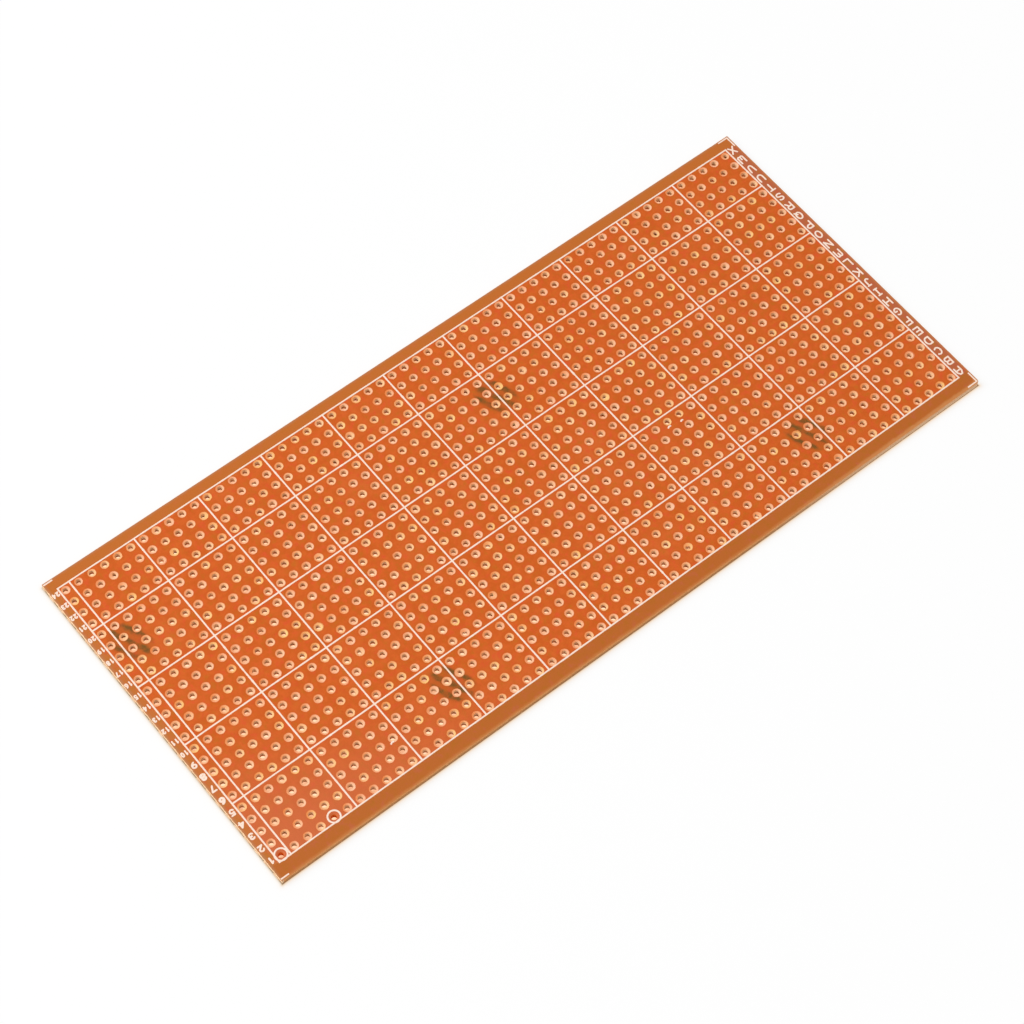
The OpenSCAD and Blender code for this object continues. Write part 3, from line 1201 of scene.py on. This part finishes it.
def light_through(finish, x, y):
    """What comes down through the board: cloudy tones, shaded on one side of each hole's axis."""
    cloud = finish.noise(1.6, detail=1.0, rough=0.4)
    glow = finish.mix(cloud.step(0.38, 0.62), GLOW_DEEP, GLOW_PALE)
    aside = past_axis(x, first_hole[0]) * GLOW_SIDE[0] + past_axis(y, first_hole[1]) * GLOW_SIDE[1]
    return finish.mix(aside.step(*GLOW_EDGE), glow, GLOW_SHADED)


def pale_floor():
    """Lit for the light that it throws back, and as bright as the surround where it is seen, with
    painted shadow and warm light round and below the sheet.
    """
    finish = Finish("pale_floor")
    finish.tree.nodes.remove(finish.shader)
    x, y, _ = finish.parts(finish.place)
    distance = board_distance(x, y)
    # Painted shadow next to the board: warm and strongest along the front side, darker where it
    # touches and by the number end
    front = past(y, sheet_low[1], (0.5, 0.0))
    near = fading(distance, NEAR_FADE) * (front * (1 - AWAY_FROM_FRONT) + AWAY_FROM_FRONT)
    by_numbers = past(x, sheet_low[0], (0.5, 0.0)) * fading(distance, NUMBERS_FADE)
    below = distance.step(0.03, 0.0)
    tint = finish.lay(
        SEEN,
        (near, SEEN_WARM_SHADOW),
        (fading(distance, TOUCHING_FADE), SEEN_CONTACT_SHADOW),
        (by_numbers * 0.8, SEEN_NUMBERS_SHADOW),
        (below, light_through(finish, x, y)),
    )
    colour = finish.mix(near, LIT, LIT_WARM_GLOW)
    matt = finish.add("ShaderNodeBsdfDiffuse", inputs={"Color": colour})
    bright = finish.add("ShaderNodeEmission", inputs={"Color": tint})
    share = below * SEEN_BELOW + distance.step(*FAR) * SEEN_FAR + SEEN_SHARE
    camera, glossy, straight = [finish.add("ShaderNodeLightPath", output=ray) for ray in PLAIN_RAYS]
    seen = camera.math("MAXIMUM", glossy).math("MAXIMUM", straight) * share
    whole = finish.add("ShaderNodeMixShader", inputs={0: seen, 1: matt, 2: bright})
    output = finish.tree.nodes["Material Output"]
    finish.tree.links.new(whole.socket, output.inputs["Surface"])
    return finish.material


def build_floor():
    """A pale floor that shows the board's shadow, and warm light below the sheet."""
    mesh = bpy.data.meshes.new("floor")
    level = cad_low[2] - FLOOR_DROP
    around = ((-1, -1), (1, -1), (1, 1), (-1, 1))
    corners = [(x * FLOOR_REACH, y * FLOOR_REACH, level) for x, y in around]
    mesh.from_pydata(corners, [], [(0, 1, 2, 3)])
    mesh.materials.append(pale_floor())
    new_object("floor", mesh)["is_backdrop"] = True


def look_along(direction, roll):
    """Turns that point a lamp or camera along a direction, its top leaning left by roll radians."""
    turn_to = Vector(direction).to_track_quat("-Z", "Y").to_matrix()
    return (turn_to @ Matrix.Rotation(roll, 3, "Z")).to_euler()


def build_lamp():
    """A broad soft lamp high behind the number end, pointed at the board's middle."""
    lamp = bpy.data.lights.new("softbox", "AREA")
    lamp.shape = "SQUARE"
    lamp.size = LAMP_SIZE
    lamp.energy = LAMP_POWER
    holder = new_object("softbox", lamp)
    holder.location = LAMP_PLACE
    holder.rotation_euler = look_along(-LAMP_PLACE, 0.0)


def build_surround():
    """An even surround: full white for the rays that see it, and dimmer as light."""
    world = bpy.data.worlds.new("surround")
    bpy.context.scene.world = world
    world.use_nodes = True
    tree = world.node_tree
    background = tree.nodes["Background"]
    background.inputs["Color"].default_value = (1, 1, 1, 1)
    path = tree.nodes.new("ShaderNodeLightPath")
    seen = path.outputs[PLAIN_RAYS[0]]
    for ray in PLAIN_RAYS[1:]:
        either = tree.nodes.new("ShaderNodeMath")
        either.operation = "MAXIMUM"
        tree.links.new(seen, either.inputs[0])
        tree.links.new(path.outputs[ray], either.inputs[1])
        seen = either.outputs[0]
    level = tree.nodes.new("ShaderNodeMapRange")
    level.inputs["To Min"].default_value = SURROUND_LIGHT
    level.inputs["To Max"].default_value = SURROUND_SEEN
    tree.links.new(seen, level.inputs["Value"])
    tree.links.new(level.outputs[0], background.inputs["Strength"])


def build_camera():
    """The viewpoint: above the front of the number end, looking down across the board."""
    forward = np.array([
        math.sin(VIEW_AZIMUTH) * math.cos(VIEW_ELEVATION),
        math.cos(VIEW_AZIMUTH) * math.cos(VIEW_ELEVATION),
        -math.sin(VIEW_ELEVATION),
    ])
    data = bpy.data.cameras.new("camera")
    data.sensor_width = SENSOR_WIDTH
    data.lens = LENS
    data.clip_start = 0.01
    camera = new_object("camera", data)
    camera.location = VIEW_AIM - forward * VIEW_DISTANCE
    camera.rotation_euler = look_along(forward, VIEW_ROLL)
    bpy.context.scene.camera = camera


# ---- The board on its stage ------------------------------


bpy.context.scene.view_settings.view_transform = "Standard"
build_camera()
build_lamp()
build_surround()
build_floor()
build_sheet()
build_rims()
build_copper_rings()
build_rails()
build_guide_lines()
build_row_signs()
